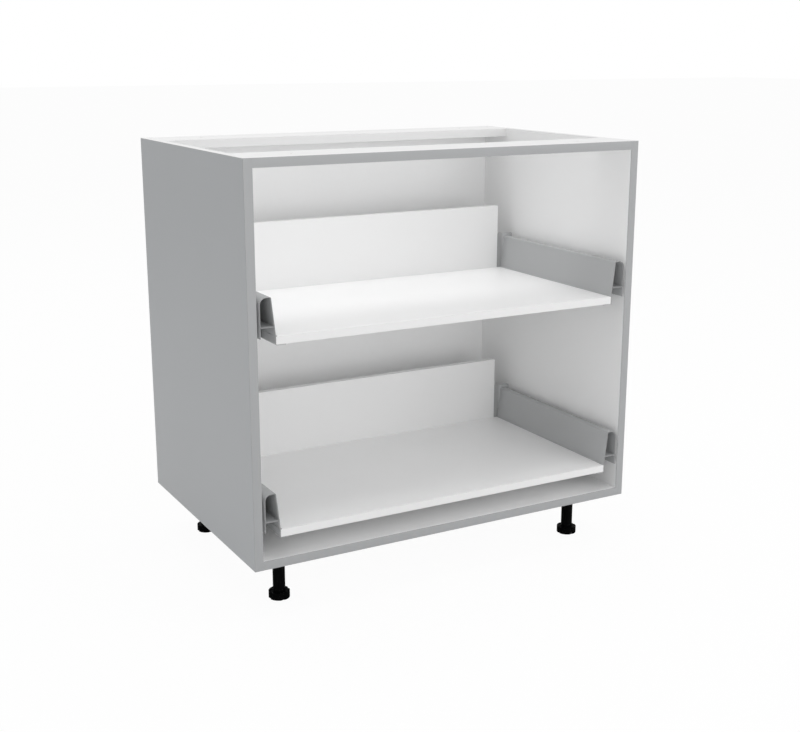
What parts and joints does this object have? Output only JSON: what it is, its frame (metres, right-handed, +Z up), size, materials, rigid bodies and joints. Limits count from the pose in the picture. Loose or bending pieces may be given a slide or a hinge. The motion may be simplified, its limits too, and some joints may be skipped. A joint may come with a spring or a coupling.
{
  "type": "kitchen base cabinet",
  "caption": "Open-fronted kitchen base cabinet on adjustable legs, with pan drawers on full-extension runners and metal sides, ready for drawer fronts and a worktop.",
  "frame": {"origin": "on the floor, under the middle of the cabinet", "axes": "+X across the cabinet to the right as seen from its open front, +Y from the front to the back, +Z up"},
  "size_m": [0.8, 0.52, 0.8],
  "materials": {
    "grey_board": "melamine-faced board, satin",
    "white_board": "melamine-faced board, satin",
    "back_board": "painted thin board, satin",
    "edge_band": "satin",
    "drawer_board": "melamine-faced board, satin",
    "drawer_steel": "silk-matt powder coat",
    "bracket_steel": "silk-matt powder coat",
    "zinc_steel": "zinc-plated, rolled",
    "zinc_casting": "cast zinc, dull",
    "screw_steel": "zinc-plated",
    "beech": "plain",
    "leg_plastic": "moulded, fine grain",
    "roller_plastic": "plain"
  },
  "bodies": {
    "carcass": {"side_left": "grey_board", "side_right": "grey_board", "bottom_panel": "white_board", "front_rail": "white_board", "rear_rail": "white_board", "back_panel": "back_board", "front_edge_bands": "edge_band", "dowels": "beech", "cam_bolts": "zinc_steel", "cam_discs": "zinc_casting", "leg_plate_front_left": "leg_plastic", "leg_stem_front_left": "leg_plastic", "leg_plate_front_right": "leg_plastic", "leg_stem_front_right": "leg_plastic", "leg_plate_rear_left": "leg_plastic", "leg_stem_rear_left": "leg_plastic", "leg_plate_rear_right": "leg_plastic", "leg_stem_rear_right": "leg_plastic", "leg_screws": "screw_steel", "runner_screws": "screw_steel", "upper_left_fixed_member": "zinc_steel", "upper_right_fixed_member": "zinc_steel", "lower_left_fixed_member": "zinc_steel", "lower_right_fixed_member": "zinc_steel"},
    "upper_drawer": {"upper_drawer_bottom": "drawer_board", "upper_drawer_back": "drawer_board", "upper_drawer_side_left": "drawer_steel", "upper_drawer_side_right": "drawer_steel", "upper_bracket_left": "bracket_steel", "upper_bracket_right": "bracket_steel", "upper_left_drawer_member": "zinc_steel", "upper_right_drawer_member": "zinc_steel", "upper_drawer_screws": "screw_steel"},
    "lower_drawer": {"lower_drawer_bottom": "drawer_board", "lower_drawer_back": "drawer_board", "lower_drawer_side_left": "drawer_steel", "lower_drawer_side_right": "drawer_steel", "lower_bracket_left": "bracket_steel", "lower_bracket_right": "bracket_steel", "lower_left_drawer_member": "zinc_steel", "lower_right_drawer_member": "zinc_steel", "lower_drawer_screws": "screw_steel"},
    "upper_left_middle_member_body": {"upper_left_middle_member": "zinc_steel"},
    "upper_left_under_cage_body": {"upper_left_under_cage": "roller_plastic"},
    "upper_left_over_cage_body": {"upper_left_over_cage": "roller_plastic"},
    "upper_right_middle_member_body": {"upper_right_middle_member": "zinc_steel"},
    "upper_right_under_cage_body": {"upper_right_under_cage": "roller_plastic"},
    "upper_right_over_cage_body": {"upper_right_over_cage": "roller_plastic"},
    "lower_left_middle_member_body": {"lower_left_middle_member": "zinc_steel"},
    "lower_left_under_cage_body": {"lower_left_under_cage": "roller_plastic"},
    "lower_left_over_cage_body": {"lower_left_over_cage": "roller_plastic"},
    "lower_right_middle_member_body": {"lower_right_middle_member": "zinc_steel"},
    "lower_right_under_cage_body": {"lower_right_under_cage": "roller_plastic"},
    "lower_right_over_cage_body": {"lower_right_over_cage": "roller_plastic"},
    "foot_front_left_body": {"foot_front_left": "leg_plastic"},
    "foot_front_right_body": {"foot_front_right": "leg_plastic"},
    "foot_rear_left_body": {"foot_rear_left": "leg_plastic"},
    "foot_rear_right_body": {"foot_rear_right": "leg_plastic"}
  },
  "joints": [
    {"name": "upper_drawer_slide", "type": "slide", "parent": "carcass", "child": "upper_drawer", "axis": [0, -1, 0], "range_m": [0, 0.385]},
    {"name": "lower_drawer_slide", "type": "slide", "parent": "carcass", "child": "lower_drawer", "axis": [0, -1, 0], "range_m": [0, 0.385]},
    {"name": "upper_left_middle_member_slide", "type": "slide", "parent": "carcass", "child": "upper_left_middle_member_body", "axis": [0, -1, 0], "range_m": [0, 0.1925]},
    {"name": "upper_left_under_cage_slide", "type": "slide", "parent": "carcass", "child": "upper_left_under_cage_body", "axis": [0, -1, 0], "range_m": [0, 0.09625]},
    {"name": "upper_left_over_cage_slide", "type": "slide", "parent": "carcass", "child": "upper_left_over_cage_body", "axis": [0, -1, 0], "range_m": [0, 0.28875]},
    {"name": "upper_right_middle_member_slide", "type": "slide", "parent": "carcass", "child": "upper_right_middle_member_body", "axis": [0, -1, 0], "range_m": [0, 0.1925]},
    {"name": "upper_right_under_cage_slide", "type": "slide", "parent": "carcass", "child": "upper_right_under_cage_body", "axis": [0, -1, 0], "range_m": [0, 0.09625]},
    {"name": "upper_right_over_cage_slide", "type": "slide", "parent": "carcass", "child": "upper_right_over_cage_body", "axis": [0, -1, 0], "range_m": [0, 0.28875]},
    {"name": "lower_left_middle_member_slide", "type": "slide", "parent": "carcass", "child": "lower_left_middle_member_body", "axis": [0, -1, 0], "range_m": [0, 0.1925]},
    {"name": "lower_left_under_cage_slide", "type": "slide", "parent": "carcass", "child": "lower_left_under_cage_body", "axis": [0, -1, 0], "range_m": [0, 0.09625]},
    {"name": "lower_left_over_cage_slide", "type": "slide", "parent": "carcass", "child": "lower_left_over_cage_body", "axis": [0, -1, 0], "range_m": [0, 0.28875]},
    {"name": "lower_right_middle_member_slide", "type": "slide", "parent": "carcass", "child": "lower_right_middle_member_body", "axis": [0, -1, 0], "range_m": [0, 0.1925]},
    {"name": "lower_right_under_cage_slide", "type": "slide", "parent": "carcass", "child": "lower_right_under_cage_body", "axis": [0, -1, 0], "range_m": [0, 0.09625]},
    {"name": "lower_right_over_cage_slide", "type": "slide", "parent": "carcass", "child": "lower_right_over_cage_body", "axis": [0, -1, 0], "range_m": [0, 0.28875]},
    {"name": "foot_front_left_height", "type": "slide", "parent": "carcass", "child": "foot_front_left_body", "axis": [0, 0, -1], "range_m": [0, 0.02]},
    {"name": "foot_front_right_height", "type": "slide", "parent": "carcass", "child": "foot_front_right_body", "axis": [0, 0, -1], "range_m": [0, 0.02]},
    {"name": "foot_rear_left_height", "type": "slide", "parent": "carcass", "child": "foot_rear_left_body", "axis": [0, 0, -1], "range_m": [0, 0.02]},
    {"name": "foot_rear_right_height", "type": "slide", "parent": "carcass", "child": "foot_rear_right_body", "axis": [0, 0, -1], "range_m": [0, 0.02]}
  ],
  "couplings": [
    {"joint": "upper_left_middle_member_slide", "follows": "upper_drawer_slide", "ratio": 0.5},
    {"joint": "upper_left_under_cage_slide", "follows": "upper_drawer_slide", "ratio": 0.25},
    {"joint": "upper_left_over_cage_slide", "follows": "upper_drawer_slide", "ratio": 0.75},
    {"joint": "upper_right_middle_member_slide", "follows": "upper_drawer_slide", "ratio": 0.5},
    {"joint": "upper_right_under_cage_slide", "follows": "upper_drawer_slide", "ratio": 0.25},
    {"joint": "upper_right_over_cage_slide", "follows": "upper_drawer_slide", "ratio": 0.75},
    {"joint": "lower_left_middle_member_slide", "follows": "lower_drawer_slide", "ratio": 0.5},
    {"joint": "lower_left_under_cage_slide", "follows": "lower_drawer_slide", "ratio": 0.25},
    {"joint": "lower_left_over_cage_slide", "follows": "lower_drawer_slide", "ratio": 0.75},
    {"joint": "lower_right_middle_member_slide", "follows": "lower_drawer_slide", "ratio": 0.5},
    {"joint": "lower_right_under_cage_slide", "follows": "lower_drawer_slide", "ratio": 0.25},
    {"joint": "lower_right_over_cage_slide", "follows": "lower_drawer_slide", "ratio": 0.75}
  ]
}
